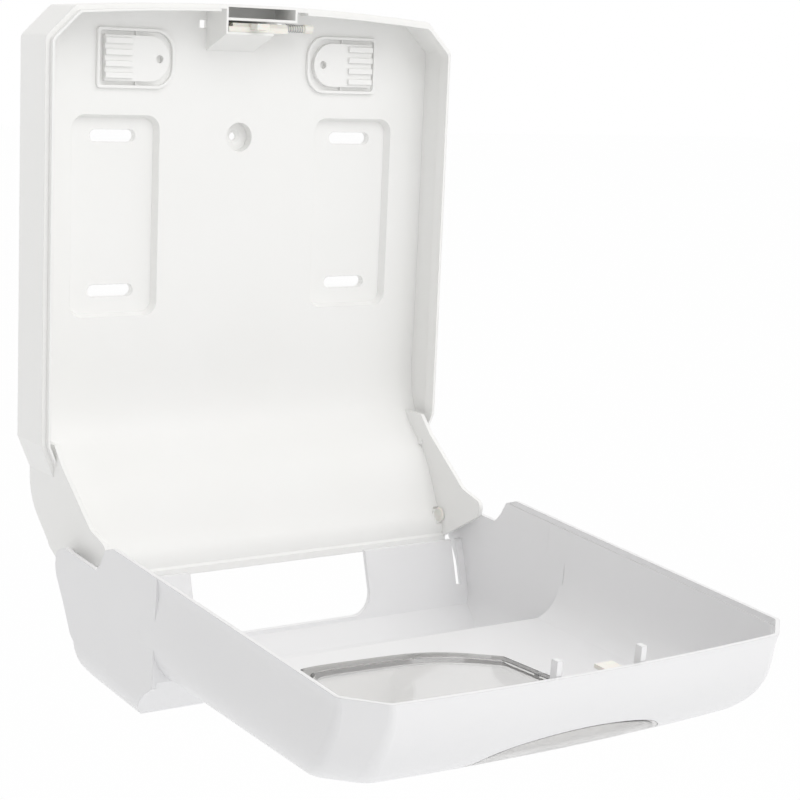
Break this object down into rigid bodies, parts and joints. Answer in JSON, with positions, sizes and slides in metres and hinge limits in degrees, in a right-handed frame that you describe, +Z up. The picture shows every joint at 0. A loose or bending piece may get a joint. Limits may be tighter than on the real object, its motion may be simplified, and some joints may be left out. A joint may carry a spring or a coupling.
{
  "type": "paper towel dispenser",
  "caption": "Wall dispenser for folded paper towels: a back shell, a hinged front cover that stands open, a smoked level window and a key lock.",
  "frame": {"origin": "centre of the four wall slots, on the face of the wall", "axes": "+X to the right seen from the room, +Y into the wall, +Z up"},
  "size_m": [0.303, 0.4131, 0.4216],
  "materials": {
    "shell_white": "satin moulded white",
    "cover_white": "semi-gloss moulded white",
    "smoked_clear": "polished smoked clear",
    "pale_acetal": "moulded, matt",
    "bright_steel": "zinc plated"
  },
  "bodies": {
    "shell": {"back_shell": "shell_white", "left_spacer": "shell_white", "right_spacer": "shell_white", "lock_base": "pale_acetal", "lock_screws": "bright_steel", "crank_pivot": "bright_steel"},
    "cover": {"front_cover": "cover_white", "level_window": "smoked_clear", "cover_catch": "pale_acetal", "left_hinge_pin": "pale_acetal", "right_hinge_pin": "pale_acetal"},
    "bar": {"lock_bar": "pale_acetal", "lock_spring": "bright_steel"},
    "crank": {"key_crank": "bright_steel"}
  },
  "joints": [
    {"name": "cover_hinge", "type": "hinge", "parent": "shell", "child": "cover", "pos_m": [0, -0.0668, -0.209], "axis": [-1, 0, 0], "range_deg": [0, 93.6]},
    {"name": "bar_slide", "type": "slide", "parent": "shell", "child": "bar", "axis": [1, 0, 0], "range_m": [0, 0.006]},
    {"name": "crank_turn", "type": "hinge", "parent": "shell", "child": "crank", "pos_m": [0.012, -0.022, 0.1218], "axis": [0, 0, 1], "range_deg": [0, 38.94]}
  ],
  "couplings": [
    {"joint": "crank_turn", "follows": "bar_slide", "rad_per_m": 113.27}
  ]
}
